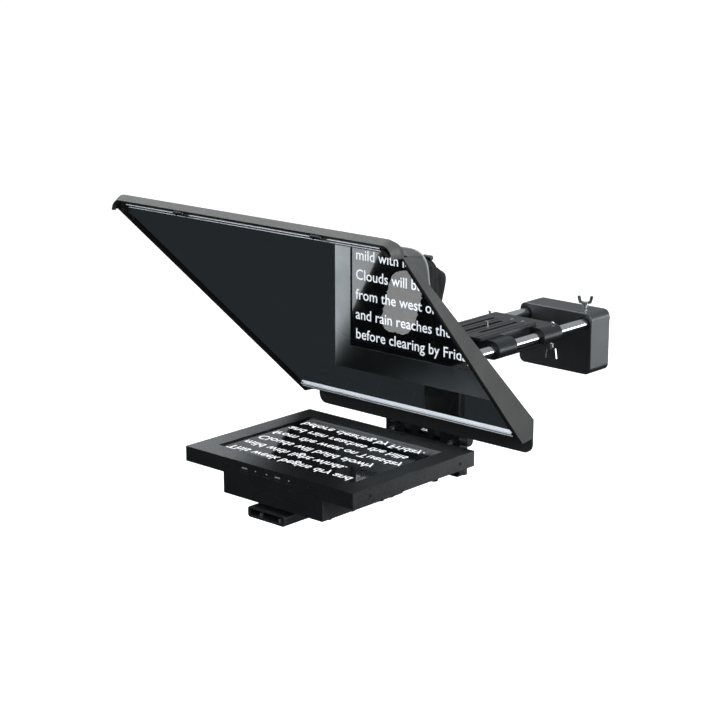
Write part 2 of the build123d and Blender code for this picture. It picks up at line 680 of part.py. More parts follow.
def tilt_lock_knob():
    x0 = BLOCK_HALF + 0.6
    knob = rod_x(PIN_Y, PIN_Z, 7.5, x0, x0 + 13)
    knob = fillet(knob.edges().group_by(Axis.X)[-1], 1.6)
    for n in range(12):
        knob -= Pos(0, PIN_Y, PIN_Z) * Rot(30 * n, 0, 0) * rod_x(8.1, 0, 1.1, x0 + 2, x0 + 14)
    return knob - rod_x(PIN_Y, PIN_Z, PIN_R + RUN, x0 - 1, 76.2)


def mast_plate():
    rear = MAST_FRONT + MAST_T
    plate = block(-MAST_HALF, MAST_HALF, MAST_FRONT, rear, BLOCK_BASE, MAST_TOP)
    plate = fillet(plate.edges().filter_by(Axis.Y).group_by(Axis.Z)[-1], 13.0)
    plate -= block(-34, 34, MAST_FRONT - 1, rear + 1, 14, 72)
    for x in (-ROD_X, ROD_X):
        plate -= rod_y(x, ROD_Z, 4.05, MAST_FRONT - 1, rear + 1)
    for x, z in block_screw_places():
        plate -= rod_y(x, z, 2.55, MAST_FRONT - 1, rear + 1)
    return plate


def rod_sockets():
    start = MAST_FRONT + MAST_T
    sockets = []
    for x in (-ROD_X, ROD_X):
        ring = rod_y(x, ROD_Z, 12.0, start, start + 22)
        ring = chamfer(ring.edges().group_by(Axis.Y)[-1], 1.0)
        sockets.append(ring - rod_y(x, ROD_Z, ROD_R, start - 1, start + 23))
    return Compound(children=sockets)


def rod_bolts():
    bolts = []
    for x in (-ROD_X, ROD_X):
        head = rod_y(x, ROD_Z, 6.4, MAST_FRONT - 5, MAST_FRONT)
        bolts.append(head + rod_y(x, ROD_Z, 4.0, MAST_FRONT, MAST_FRONT + 24))
    return bolts


# ---------------------------------------------------------------- rods, carriage, counterweight


def rod(x):
    start = MAST_FRONT + MAST_T
    tube = rod_y(x, ROD_Z, ROD_R, start, ROD_END)
    tube = chamfer(tube.edges().group_by(Axis.Y)[-1], 0.6)
    return tube - rod_y(x, ROD_Z, ROD_BORE, start - 1, ROD_END + 1)


def rod_end_plugs():
    plugs = []
    for x in (-ROD_X, ROD_X):
        plug = rod_y(x, ROD_Z, 7.2, ROD_END, ROD_END + 2.4) + rod_y(x, ROD_Z, 4.05, ROD_END - 8, ROD_END)
        plugs.append(plug)
    return Compound(children=plugs)


def carriage_body():
    """Two saddles on a solid core: the rods run through the saddles and show between them."""
    length = CAR_Y1 - CAR_Y0
    profile = Plane.XZ * Pos(0, ROD_Z) * SlotOverall(2 * (ROD_X + SADDLE_R), 2 * SADDLE_R)
    body = Pos(0, CAR_Y1, 0) * extrude(profile, length)
    top = ROD_Z + SADDLE_R + 1
    low = TRIPOD_Z + 5
    for side in (-1, 1):
        a, b = sorted((side * CAR_CORE, side * 80))
        body -= block(a, b, SADDLE_1, SADDLE_2, low, top)
        body -= rod_y(side * ROD_X, ROD_Z, ROD_R + RUN, CAR_Y0 - 1, CAR_Y1 + 1)
        body -= rod_z(side * ROD_X, CLAMP_Y, PIN_R + RUN, TRIPOD_Z - 1, ROD_Z)
    body -= rod_z(0, TRIPOD_Y, 3.97, TRIPOD_Z - 1, TRIPOD_Z + 13)
    for y in (TRIPOD_Y - 32, TRIPOD_Y + 32):
        body -= rod_z(0, y, 2.55, TRIPOD_Z - 1, TRIPOD_Z + 10)
    trench_low = ROD_Z + SADDLE_R - 8
    body -= block(-12, 12, CAR_Y0 - 1, PLATE_Y1 - 22, trench_low, top)
    for x, y in plate_screw_places():
        body -= rod_z(x, y, 2.05, ROD_Z - 2, top)
    for x in (-SET_SCREW[0], SET_SCREW[0]):
        body -= rod_z(x, SET_SCREW[1], 1.55, ROD_Z + 8.8, top)
    return body - block(-80, 80, CLAMP_Y - 15, CAR_Y1 + 1, TRIPOD_Z - 1, TRIPOD_Z + 1)


def plate_screw_places():
    return [(3.0, 490.5), (22.0, 490.5)]


def camera_plate():
    low = ROD_Z + SADDLE_R
    plate = block(-PLATE_HALF, PLATE_HALF, PLATE_Y0, PLATE_Y1, low, PLATE_TOP)
    plate = fillet(plate.edges().filter_by(Axis.Z), 3.0)
    plate = chamfer(plate.faces().sort_by(Axis.Z)[-1].edges(), 1.0)
    slot = Pos(0, 426.0, low - 1) * extrude(Rot(0, 0, 90) * SlotOverall(90, 6.9), 8)
    plate -= slot
    plate -= block(-9, 9, 386, 466, low - 1, low + 2.2)
    for x in (-SLOT_X, SLOT_X):
        plate -= Pos(x, 437.0, low - 1) * extrude(Rot(0, 0, 90) * SlotOverall(84, 5.4), 8)
    for x in (-33.0, -10.5, 10.5, 33.0):
        plate -= block(x - 0.8, x + 0.8, PLATE_Y0 - 1, PLATE_Y1 - 20, PLATE_TOP - 0.8, PLATE_TOP + 1)
    for x, y in plate_screw_places():
        plate -= rod_z(x, y, 2.05, low - 1, PLATE_TOP + 1)
        plate -= rod_z(x, y, 3.9, PLATE_TOP - HEAD_SUNK, PLATE_TOP + 1)
    return plate


def camera_plate_screws():
    low = ROD_Z + SADDLE_R
    screws = []
    for x, y in plate_screw_places():
        seat = PLATE_TOP - HEAD_SUNK
        head = rod_z(x, y, 3.4, seat, seat + 1.8)
        head = fillet(head.edges().group_by(Axis.Z)[-1], 0.9)
        head -= Pos(x, y, seat + 1.8) * extrude(RegularPolygon(1.3, 6), -1.0)
        screws.append(head + rod_z(x, y, 2.0, low - 9, seat))
    return Compound(children=screws)


def camera_screw():
    """The captive camera screw: knurled head below the slot, relieved neck, thread above the plate."""
    low = ROD_Z + SADDLE_R
    screw = rod_z(0, CAM_SCREW_Y, 6.6, low - 6.6, low - 1.6)
    for n in range(16):
        screw -= Pos(0, CAM_SCREW_Y, 0) * Rot(0, 0, 22.5 * n) * rod_z(6.9, 0, 0.6, low - 7, low - 1)
    screw += rod_z(0, CAM_SCREW_Y, 2.7, low - 1.6, PLATE_TOP)
    return screw + rod_z(0, CAM_SCREW_Y, 3.15, PLATE_TOP, PLATE_TOP + 5.5)


def camera_screw_washer():
    low = ROD_Z + SADDLE_R
    washer = block(-8.4, 8.4, CAM_SCREW_Y - 7, CAM_SCREW_Y + 7, low - 1.3, low + 1.9)
    return washer - rod_z(0, CAM_SCREW_Y, 3.2, low - 3, low + 3)


def clamp_set_screws():
    screws = []
    for x in (-SET_SCREW[0], SET_SCREW[0]):
        pin = rod_z(x, SET_SCREW[1], 1.5, ROD_Z + 9.2, ROD_Z + SADDLE_R + 1.0)
        screws.append(pin + Pos(x, SET_SCREW[1], ROD_Z + SADDLE_R + 2.6) * Sphere(2.3))
    return Compound(children=screws)


def counterweight_body():
    thick = WEIGHT_Y1 - WEIGHT_Y0
    height = WEIGHT_Z1 - WEIGHT_Z0
    face = Plane.XZ * Pos(0, (WEIGHT_Z0 + WEIGHT_Z1) / 2) * RectangleRounded(2 * WEIGHT_HALF, height, WEIGHT_CORNER)
    body = Pos(0, WEIGHT_Y1, 0) * extrude(face, thick)
    body = chamfer(body.faces().sort_by(Axis.Y)[0].edges() + body.faces().sort_by(Axis.Y)[-1].edges(), 1.0)
    for x in (-ROD_X, ROD_X):
        body -= rod_y(x, ROD_Z, 10.0, WEIGHT_Y0 - 1, WEIGHT_Y1 + 1)
    x, y = WEIGHT_SCREW
    return body - rod_z(x, y, PIN_R + RUN, WEIGHT_Z1 - 12, WEIGHT_Z1 + 1)


def counterweight_bushes():
    bushes = []
    for x in (-ROD_X, ROD_X):
        bush = rod_y(x, ROD_Z, 10.0, WEIGHT_Y0 + 1.6, WEIGHT_Y1 - 1.6)
        bushes.append(bush - rod_y(x, ROD_Z, ROD_R + RUN, WEIGHT_Y0, WEIGHT_Y1))
    return Compound(children=bushes)


def build():
    """Every node by name."""
    parts = {
        "monitor_case": monitor_case(),
        "front_fascia": front_fascia(),
        "monitor_back_cover": monitor_back_cover(),
        "electronics_housing": electronics_housing(),
        "screen_glass": screen_glass(),
        "lcd_panel": lcd_panel(),
        "circuit_boards": Compound(children=[driver_board(), button_board()]),
        "board_standoffs": board_standoffs(),
        "rear_sockets": rear_sockets(),
        "monitor_screws": monitor_screws(),
        "rubber_feet": rubber_feet(),
        "monitor_channel": monitor_channel(),
        "channel_screws": channel_screws(),
        "slide_shoe": slide_shoe(),
        "slide_knob": slide_knob(),
        "side_panel_left": side_panel(-1),
        "side_panel_right": side_panel(1),
        "top_lip": top_lip(),
        "glass_clip_left": glass_clip(CLIP_X[0]),
        "glass_clip_right": glass_clip(CLIP_X[1]),
        "glass_bottom_bar": glass_bar(BAR_LOW_Y, BAR_LOW_HALF, -1),
        "glass_top_bar": glass_bar(BAR_HIGH_Y, BAR_HIGH_HALF, 1),
        "beam_splitter_glass": beam_splitter(),
        "glass_side_seals": glass_seals(),
        "bar_end_caps": bar_end_caps(),
        "hood_back_plate": hood_back_plate(),
        "hood_gussets": hood_gussets(),
        "hinge_leaf": hinge_leaf(),
        **fabric_shroud(),
        "shroud_piping": shroud_piping(),
        "lens_sock": lens_sock(),
        "cord_toggle": cord_toggle(),
        "hinge_block": hinge_block(),
        "mast_screws": Compound(children=[*block_screws(), *rod_bolts()]),
        "hinge_pin": hinge_pin(),
        "tilt_lock_knob": tilt_lock_knob(),
        "mast_plate": mast_plate(),
        "rod_sockets": rod_sockets(),
        "rod_left": rod(-ROD_X),
        "rod_right": rod(ROD_X),
        "rod_end_plugs": rod_end_plugs(),
        "carriage_body": carriage_body(),
        "camera_plate": camera_plate(),
        "camera_plate_screws": camera_plate_screws(),
        "camera_screw": camera_screw(),
        "camera_screw_washer": camera_screw_washer(),
        "clamp_set_screws": clamp_set_screws(),
        "clamp_wing_screw_left": wing_screw(-ROD_X, CLAMP_Y, ROD_Z - ROD_R - 0.1, 73.4, 52.0),
        "clamp_wing_screw_right": wing_screw(ROD_X, CLAMP_Y, ROD_Z - ROD_R - 0.1, 73.4, 52.0),
        "counterweight_body": counterweight_body(),
        "counterweight_bushes": counterweight_bushes(),
        "counterweight_wing_screw": wing_screw(*WEIGHT_SCREW, WEIGHT_Z1 - 11, WEIGHT_Z1 + 0.6, WEIGHT_Z1 + 16.5, 30),
    }
    for name, *edges in BUTTONS:
        parts[name] = button(*edges)
    return parts


os.makedirs("parts", exist_ok=True)
shift = Pos(0, -TRIPOD_Y, -TRIPOD_Z)
for name, shape in build().items():
    export_step(shift * shape, f"parts/{name}.step")
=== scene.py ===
import json
import math

import bpy
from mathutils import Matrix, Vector, noise


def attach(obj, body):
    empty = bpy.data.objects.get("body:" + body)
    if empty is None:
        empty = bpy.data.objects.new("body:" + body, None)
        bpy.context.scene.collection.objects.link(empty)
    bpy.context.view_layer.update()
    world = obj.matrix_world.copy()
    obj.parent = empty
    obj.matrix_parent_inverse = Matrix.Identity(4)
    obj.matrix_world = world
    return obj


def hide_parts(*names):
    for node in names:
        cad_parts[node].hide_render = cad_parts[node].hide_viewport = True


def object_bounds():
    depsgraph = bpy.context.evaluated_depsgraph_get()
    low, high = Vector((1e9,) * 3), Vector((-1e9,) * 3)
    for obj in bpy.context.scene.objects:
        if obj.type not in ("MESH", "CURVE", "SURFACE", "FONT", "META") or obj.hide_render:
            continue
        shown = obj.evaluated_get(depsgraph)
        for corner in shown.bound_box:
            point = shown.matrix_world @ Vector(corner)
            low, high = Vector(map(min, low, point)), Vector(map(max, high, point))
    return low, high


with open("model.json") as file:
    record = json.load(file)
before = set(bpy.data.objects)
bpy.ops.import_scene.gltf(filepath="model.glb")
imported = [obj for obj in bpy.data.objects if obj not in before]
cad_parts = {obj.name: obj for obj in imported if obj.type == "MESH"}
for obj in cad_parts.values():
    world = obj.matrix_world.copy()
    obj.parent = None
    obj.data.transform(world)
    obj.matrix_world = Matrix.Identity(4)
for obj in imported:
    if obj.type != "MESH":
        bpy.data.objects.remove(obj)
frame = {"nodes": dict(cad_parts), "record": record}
nodes = frame["nodes"]
cad_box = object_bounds()
scene = bpy.context.scene

# Distances below are millimetres from the middle of the monitor's top front edge, as in the
# CAD; place() turns them into the row frame.
TRIPOD = (0.0, 455.0, 74.0)


def place(x, y, z):
    return Vector(((x - TRIPOD[0]) / 1000, (y - TRIPOD[1]) / 1000, (z - TRIPOD[2]) / 1000))


# ---------------------------------------------------------------- materials


def base_material(name, color, rough, metal=0.0, **sockets):
    mat = bpy.data.materials.new(name)
    mat.use_nodes = True
    tree = mat.node_tree
    shader = tree.nodes["Principled BSDF"]
    shader.inputs["Base Color"].default_value = (*color, 1.0)
    shader.inputs["Roughness"].default_value = rough
    shader.inputs["Metallic"].default_value = metal
    for socket, value in sockets.items():
        shader.inputs[socket.replace("_", " ")].default_value = value
    return mat, tree, shader


def node(tree, kind, **values):
    made = tree.nodes.new(kind)
    for key, value in values.items():
        if key in made.inputs:
            made.inputs[key].default_value = value
        else:
            setattr(made, key, value)
    return made


def coordinates(tree, scale=(1.0, 1.0, 1.0)):
    coord = node(tree, "ShaderNodeTexCoord")
    mapping = node(tree, "ShaderNodeMapping")
    mapping.inputs["Scale"].default_value = scale
    tree.links.new(coord.outputs["Object"], mapping.inputs["Vector"])
    return mapping.outputs["Vector"]


def noise_value(tree, vector, scale, detail=3.0, rough=0.55):
    made = node(tree, "ShaderNodeTexNoise", Scale=scale, Detail=detail, Roughness=rough)
    tree.links.new(vector, made.inputs["Vector"])
    return made.outputs["Fac"]


def ramp(tree, value, low, high, color_a, color_b):
    made = node(tree, "ShaderNodeValToRGB")
    made.color_ramp.elements[0].position = low
    made.color_ramp.elements[1].position = high
    made.color_ramp.elements[0].color = (*color_a, 1.0)
    made.color_ramp.elements[1].color = (*color_b, 1.0)
    tree.links.new(value, made.inputs["Fac"])
    return made.outputs["Color"]


def spread(tree, value, low, high, from_low=0.3, from_high=0.7):
    made = node(tree, "ShaderNodeMapRange")
    made.inputs["From Min"].default_value = from_low
    made.inputs["From Max"].default_value = from_high
    made.inputs["To Min"].default_value = low
    made.inputs["To Max"].default_value = high
    tree.links.new(value, made.inputs["Value"])
    return made.outputs["Result"]


def bump(tree, shader, height, strength, distance):
    made = node(tree, "ShaderNodeBump", Strength=strength, Distance=distance)
    tree.links.new(height, made.inputs["Height"])
    tree.links.new(made.outputs["Normal"], shader.inputs["Normal"])
    return made


def tone(color, factor):
    return tuple(min(1.0, channel * factor) for channel in color)


def coated(name, color, rough, grain, depth, vary=0.18, metal=0.0, **sockets):
    """Paint or moulded plastic: fine grain in the bump, soft clouds in colour and roughness."""
    mat, tree, shader = base_material(name, color, rough, metal, **sockets)
    vector = coordinates(tree)
    clouds = noise_value(tree, vector, 22.0, 4.0)
    fine = noise_value(tree, vector, grain, 2.0, 0.6)
    tint = ramp(tree, clouds, 0.3, 0.7, tone(color, 1 - vary), tone(color, 1 + vary))
    tree.links.new(tint, shader.inputs["Base Color"])
    tree.links.new(spread(tree, fine, rough - 0.06, rough + 0.08), shader.inputs["Roughness"])
    bump(tree, shader, fine, 0.6, depth)
    return mat


def brushed(name, color, rough, along, metal=1.0, depth=0.00002, vary=0.12, lines=2600.0):
    """Metal drawn or brushed along one axis."""
    mat, tree, shader = base_material(name, color, rough, metal)
    scale = [lines, lines, lines]
    scale[along] = 40.0
    streaks = noise_value(tree, coordinates(tree, tuple(scale)), 1.0, 4.0, 0.7)
    clouds = noise_value(tree, coordinates(tree), 30.0, 4.0)
    mixed = node(tree, "ShaderNodeMath", operation="MULTIPLY_ADD")
    mixed.inputs[1].default_value = 0.35
    tree.links.new(clouds, mixed.inputs[0])
    tree.links.new(streaks, mixed.inputs[2])
    tint = ramp(tree, streaks, 0.3, 0.7, tone(color, 1 - vary), tone(color, 1 + vary))
    tree.links.new(tint, shader.inputs["Base Color"])
    streak_rough = spread(tree, mixed.outputs[0], rough - 0.08, rough + 0.12, 0.4, 0.9)
    tree.links.new(streak_rough, shader.inputs["Roughness"])
    bump(tree, shader, streaks, 0.5, depth)
    return mat


def cloth(name, color, thread, rough, sheen, fuzz=0.25):
    """Woven cloth: two crossing sets of threads with uneven tone."""
    mat, tree, shader = base_material(name, color, rough)
    shader.inputs["Sheen Weight"].default_value = sheen
    shader.inputs["Specular IOR Level"].default_value = 0.2
    shader.inputs["Sheen Roughness"].default_value = 0.5
    vector = coordinates(tree)
    heights = []
    for direction in ("X", "Z", "Y"):
        wave = node(tree, "ShaderNodeTexWave", wave_type="BANDS", bands_direction=direction,
                    Scale=thread, Distortion=0.6)
        wave.inputs["Detail"].default_value = 1.0
        tree.links.new(vector, wave.inputs["Vector"])
        heights.append(wave.outputs["Fac"])
    first = node(tree, "ShaderNodeMath", operation="MAXIMUM")
    tree.links.new(heights[0], first.inputs[0])
    tree.links.new(heights[1], first.inputs[1])
    both = node(tree, "ShaderNodeMath", operation="MULTIPLY")
    tree.links.new(first.outputs[0], both.inputs[0])
    tree.links.new(heights[2], both.inputs[1])
    clouds = noise_value(tree, vector, 34.0, 5.0, 0.6)
    lint = noise_value(tree, vector, 900.0, 3.0, 0.7)
    mixed = node(tree, "ShaderNodeMath", operation="MULTIPLY_ADD")
    mixed.inputs[1].default_value = 0.6
    tree.links.new(lint, mixed.inputs[0])
    tree.links.new(clouds, mixed.inputs[2])
    tint = ramp(tree, mixed.outputs[0], 0.55, 1.05, tone(color, 1 - fuzz), tone(color, 1 + fuzz))
    tree.links.new(tint, shader.inputs["Base Color"])
    weave_rough = spread(tree, both.outputs[0], rough - 0.08, rough + 0.06, 0.1, 0.9)
    tree.links.new(weave_rough, shader.inputs["Roughness"])
    bump(tree, shader, both.outputs[0], 0.7, 0.00018)
    return mat


def glossy_panel(name, color, rough, coat=0.0):
    """A smooth glossy face with faint smudges in its roughness."""
    mat, tree, shader = base_material(name, color, rough, Coat_Weight=coat, Coat_Roughness=0.04)
    smudge = noise_value(tree, coordinates(tree), 9.0, 6.0, 0.65)
    tree.links.new(spread(tree, smudge, rough, rough + 0.10), shader.inputs["Roughness"])
    tint = ramp(tree, smudge, 0.3, 0.8, tone(color, 0.8), tone(color, 1.3))
    tree.links.new(tint, shader.inputs["Base Color"])
    return mat


def splitter_coat():
    """The half-silvered front face: part mirror, part clear."""
    mat, tree, shader = base_material("splitter_coat", (0.86, 0.9, 0.92), 0.0, 1.0, Alpha=0.8)
    dust = noise_value(tree, coordinates(tree), 14.0, 6.0, 0.7)
    tree.links.new(spread(tree, dust, 0.0, 0.012, 0.45, 0.8), shader.inputs["Roughness"])
    tint = ramp(tree, dust, 0.2, 0.8, (0.84, 0.88, 0.9), (0.9, 0.93, 0.95))
    tree.links.new(tint, shader.inputs["Base Color"])
    return mat


def clear_face():
    """The back and the edges of the glass, nearly clear with a faint green tint."""
    mat, tree, shader = base_material("clear_face", (0.05, 0.09, 0.075), 0.02, 0.0, Alpha=0.12)
    dust = noise_value(tree, coordinates(tree), 25.0, 5.0, 0.7)
    tint = ramp(tree, dust, 0.3, 0.8, (0.04, 0.075, 0.06), (0.07, 0.11, 0.09))
    tree.links.new(tint, shader.inputs["Base Color"])
    tree.links.new(spread(tree, dust, 0.01, 0.06), shader.inputs["Roughness"])
    return mat


def glow(name, color, strength):
    """Lit letters: an even light with a faint pixel grid in its brightness."""
    mat, tree, shader = base_material(name, (0.02, 0.02, 0.02), 0.3)
    grid = noise_value(tree, coordinates(tree), 1500.0, 1.0)
    tint = ramp(tree, grid, 0.2, 0.8, tone(color, 0.9), color)
    tree.links.new(tint, shader.inputs["Emission Color"])
    shader.inputs["Emission Strength"].default_value = strength
    return mat


MATERIALS = {
    "black_powder": coated("black_powder", (0.030, 0.033, 0.035), 0.46, 1500.0, 0.00010),
    "bezel_black": coated("bezel_black", (0.15, 0.158, 0.162), 0.30, 1500.0, 0.00006, 0.12, 1.0),
    "anodised_black": brushed(
        "anodised_black", (0.048, 0.052, 0.056), 0.33, 1, 0.75, 0.000012, 0.15),
    "bright_aluminium": brushed("bright_aluminium", (0.50, 0.53, 0.56), 0.20, 0),
    "gusset_grey": coated("gusset_grey", (0.22, 0.23, 0.225), 0.45, 1200.0, 0.00006),
    "chrome_rod": brushed("chrome_rod", (0.78, 0.80, 0.82), 0.13, 1, 1.0, 0.000004, 0.05),
    "steel_bright": brushed("steel_bright", (0.66, 0.67, 0.68), 0.24, 2, 1.0, 0.000008, 0.08),
    "steel_black": coated("steel_black", (0.035, 0.036, 0.038), 0.36, 1200.0, 0.00003, metal=0.5),
    "brass": brushed("brass", (0.72, 0.55, 0.26), 0.28, 2),
    "hood_shell": coated("hood_shell", (0.058, 0.062, 0.060), 0.52, 1350.0, 0.00014),
    "lcd_black": glossy_panel("lcd_black", (0.006, 0.006, 0.007), 0.12),
    "board_green": coated("board_green", (0.02, 0.17, 0.07), 0.4, 300.0, 0.00006, 0.3),
    "plastic_black": coated("plastic_black", (0.020, 0.021, 0.022), 0.40, 1100.0, 0.00005),
    "rubber_black": coated("rubber_black", (0.014, 0.014, 0.015), 0.74, 800.0, 0.00008),
    "shroud_fabric": cloth("shroud_fabric", (0.062, 0.068, 0.067), 780.0, 0.78, 0.06),
    "piping_grey": cloth("piping_grey", (0.34, 0.36, 0.35), 900.0, 0.75, 0.1),
    "sock_fabric": cloth("sock_fabric", (0.006, 0.0065, 0.0075), 1000.0, 0.85, 0.05, 0.35),
    "cast_black": brushed("cast_black", (0.125, 0.132, 0.138), 0.38, 2, 0.9, 0.00002, 0.14, 1800.0),
    "bush_plastic": coated("bush_plastic", (0.024, 0.025, 0.026), 0.45, 900.0, 0.00005),
    "screen_glass": glossy_panel("screen_glass", (0.003, 0.003, 0.0035), 0.03, 1.0),
}
SPLITTER = splitter_coat()
CLEAR = clear_face()
SCRIPT_LIGHT = glow("script_light", (0.93, 0.96, 1.0), 1.3)
MARK_PAINT = coated("mark_paint", (0.55, 0.56, 0.57), 0.5, 1000.0, 0.00002, 0.08)

for name, slot in ((row["node"], row["material_slot"]) for row in frame["record"]["subparts"]):
    data = nodes[name].data
    data.materials.clear()
    if name == "beam_splitter_glass":
        data.materials.append(CLEAR)
        data.materials.append(SPLITTER)
        toward = Vector((0.0, -1.0, -1.0)).normalized()
        for polygon in data.polygons:
            polygon.material_index = 1 if polygon.normal.dot(toward) > 0.9 else 0
    else:
        data.materials.append(MATERIALS[slot])


# ---------------------------------------------------------------- soft pieces


def mesh_piece(name, verts, faces, material, smooth=True):
    mesh = bpy.data.meshes.new(name)
    mesh.from_pydata([tuple(v) for v in verts], [], faces)
    mesh.update()
    piece = bpy.data.objects.new(name, mesh)
    scene.collection.objects.link(piece)
    mesh.materials.append(material)
    if smooth:
        mesh.polygons.foreach_set("use_smooth", [True] * len(mesh.polygons))
    return piece


def apply_modifiers(piece):
    graph = bpy.context.evaluated_depsgraph_get()
    made = bpy.data.meshes.new_from_object(piece.evaluated_get(graph))
    piece.modifiers.clear()
    piece.data = made


def tube(name, points, radius, material, closed=False, resolution=4):
    curve = bpy.data.curves.new(name, "CURVE")
    curve.dimensions = "3D"
    curve.bevel_depth = radius
    curve.bevel_resolution = resolution
    curve.use_fill_caps = not closed
    spline = curve.splines.new("POLY")
    spline.points.add(len(points) - 1)
    for point, target in zip(spline.points, points):
        point.co = (*target, 1.0)
    spline.use_cyclic_u = closed
    line = bpy.data.objects.new(name + "_line", curve)
    scene.collection.objects.link(line)
    graph = bpy.context.evaluated_depsgraph_get()
    mesh = bpy.data.meshes.new_from_object(line.evaluated_get(graph))
    bpy.data.objects.remove(line)
    piece = bpy.data.objects.new(name, mesh)
    scene.collection.objects.link(piece)
    mesh.materials.clear()
    mesh.materials.append(material)
    mesh.polygons.foreach_set("use_smooth", [True] * len(mesh.polygons))
    return piece


RING_TOP = (200.0, 255.0)
RING_LOW = (221.0, 116.0)
RING_HALF = 87.0
REAR_TOP = (-14.0, 303.6)
REAR_LOW = (298.0, 35.9)
HOOD_REAR = 299.0
HOOD_HALF = 187.0
SPLAY = 0.165
RING_CORNER = 26.0
RIM_CORNER = 6.0
CLOTH_T = 0.0012
SEAM_R = 0.0011


def half_width(y):
    return HOOD_HALF + SPLAY * (HOOD_REAR - y)


def rounded_loop(corners, radius, steps, per_side):
    """Points round a four-cornered loop with rounded corners; every loop has the same count."""
    loop = []
    for n, corner in enumerate(corners):
        before = (corners[n - 1] - corner).normalized() * radius
        after = (corners[(n + 1) % 4] - corner).normalized() * radius
        start, end = corner + before, corner + after
        for k in range(steps + 1):
            t = k / steps
            loop.append(start.lerp(corner, t).lerp(corner.lerp(end, t), t))
        following = corners[(n + 1) % 4]
        stop = following + (corner - following).normalized() * radius
        for k in range(1, per_side):
            loop.append(end.lerp(stop, k / per_side))
    return loop


def ring_corners(grow, behind):
    (y1, z1), (y0, z0) = RING_TOP, RING_LOW
    along = Vector((0, y1 - y0, z1 - z0)).normalized()
    away = Vector((0, along.z, -along.y))
    wide = RING_HALF + grow
    top = Vector((0, y1, z1)) + along * grow + away * behind
    low = Vector((0, y0, z0)) - along * grow + away * behind
    side = Vector((wide, 0, 0))
    return [low - side, low + side, top + side, top - side]


def rim_corners(inset, behind):
    top, low = Vector((0, *REAR_TOP)), Vector((0, REAR_LOW[0] - 1.0, REAR_LOW[1]))
    down = (low - top).normalized()
    away = Vector((0, -down.z, down.y))
    corners = []
    low, top = low - down * inset, top + down * inset
    for spot, side in ((low, -1), (low, 1), (top, 1), (top, -1)):
        corners.append(spot + away * behind + Vector((side * (half_width(spot.y) - inset), 0, 0)))
    return corners


STEPS, PER_SIDE = 8, 22


def fabric_shroud():
    """Cloth pulled tight between the hood's rear edge and the ring, dishing in between seams."""
    rim = rounded_loop(rim_corners(1.8, -0.3), RIM_CORNER, STEPS, PER_SIDE)
    ring = rounded_loop(ring_corners(-0.8, -0.6), RING_CORNER, STEPS, PER_SIDE)
    count, rows = len(rim), 40
    middle = sum(rim, Vector()) / count
    verts = []
    for r in range(rows + 1):
        v = r / rows
        for n in range(count):
            side, place_in = divmod(n, STEPS + PER_SIDE)
            point = rim[n].lerp(ring[n], v)
            across = max(0.0, place_in - STEPS) / PER_SIDE
            dish = math.sin(math.pi * across) ** 0.8 * math.sin(math.pi * v) ** 0.9
            inward = (middle + Vector((0, 40, 40)) - point).normalized()
            slack = 5.5 if side in (1, 3) else 4.0
            ripple = noise.noise(Vector((point.x, point.y, point.z)) / 55.0) * 1.6
            gather = math.sin(across * math.pi * 9 + side) * math.exp(-8 * (1 - v)) * 0.9
            pull = gather * math.sin(math.pi * across)
            verts.append(point + inward * (slack * dish + (ripple * math.sin(math.pi * v) + pull)))
    faces = []
    for r in range(rows):
        for n in range(count):
            m = (n + 1) % count
            faces.append((r * count + n, r * count + m, (r + 1) * count + m, (r + 1) * count + n))
    placed = [place(*v) for v in verts]
    piece = mesh_piece("shroud_cloth", placed, faces, MATERIALS["shroud_fabric"])
    solid = piece.modifiers.new("thickness", "SOLIDIFY")
    solid.thickness = CLOTH_T
    solid.offset = 0.0
    apply_modifiers(piece)
    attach(piece, "hood")
    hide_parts("shroud_top", "shroud_bottom", "shroud_left", "shroud_right")
    for corner in range(4):
        column = corner * (STEPS + PER_SIDE) + STEPS // 2
        line = []
        for r in range(rows + 1):
            on_cloth = verts[r * count + column]
            line.append(place(*(on_cloth + (on_cloth - middle).normalized() * 0.7)))
        seam = tube(f"shroud_seam_{corner}", line, SEAM_R, MATERIALS["shroud_fabric"])
        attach(seam, "hood")


def piping():
    """Corded piping sewn round the ring: a light cord and its flat stitched edge."""
    loop = rounded_loop(ring_corners(0.3, 0.0), RING_CORNER, 12, 20)
    cord = tube("ring_piping", [place(*p) for p in loop], 0.0016, MATERIALS["piping_grey"], True, 5)
    back = rounded_loop(ring_corners(-0.9, 1.2), 25.0, 12, 20)
    back = [place(*p) for p in back]
    edge = tube("ring_binding", back, 0.0015, MATERIALS["sock_fabric"], True, 4)
    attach(cord, "hood")
    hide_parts("shroud_piping")
    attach(edge, "hood")


CUFF_TOP = (278.0, 213.0)
CUFF_LOW = (245.0, 119.5)
CUFF_HALF = 61.5
CUFF_CORNER = 13.0
MOUTH_HALF = 32
MOUTH_LOW = 127
MOUTH_TOP = 209
MOUTH_INSET = 5.0
SOCK_T = 0.0011
HEM_R = 0.0019


def cuff_corners(grow, behind):
    (y1, z1), (y0, z0) = CUFF_TOP, CUFF_LOW
    up = Vector((0, y1 - y0, z1 - z0)).normalized()
    away = Vector((0, up.z, -up.y)) * behind
    side = Vector((CUFF_HALF + grow, 0, 0))
    low = Vector((0, y0, z0)) - up * grow + away
    high = Vector((0, y1, z1)) + up * grow + away
    return [low - side, low + side, high + side, high - side]


def mouth_corners():
    """The elastic opening that closes round the lens, set a little into the sleeve's end."""
    depth = (CUFF_TOP[0] - CUFF_LOW[0]) / (CUFF_TOP[1] - CUFF_LOW[1])
    corners = []
    for x, z in ((-MOUTH_HALF, MOUTH_LOW), (MOUTH_HALF, MOUTH_LOW),
                 (MOUTH_HALF, MOUTH_TOP), (-MOUTH_HALF, MOUTH_TOP)):
        corners.append(Vector((x, CUFF_LOW[0] + depth * (z - CUFF_LOW[1]) - MOUTH_INSET, z)))
    return corners


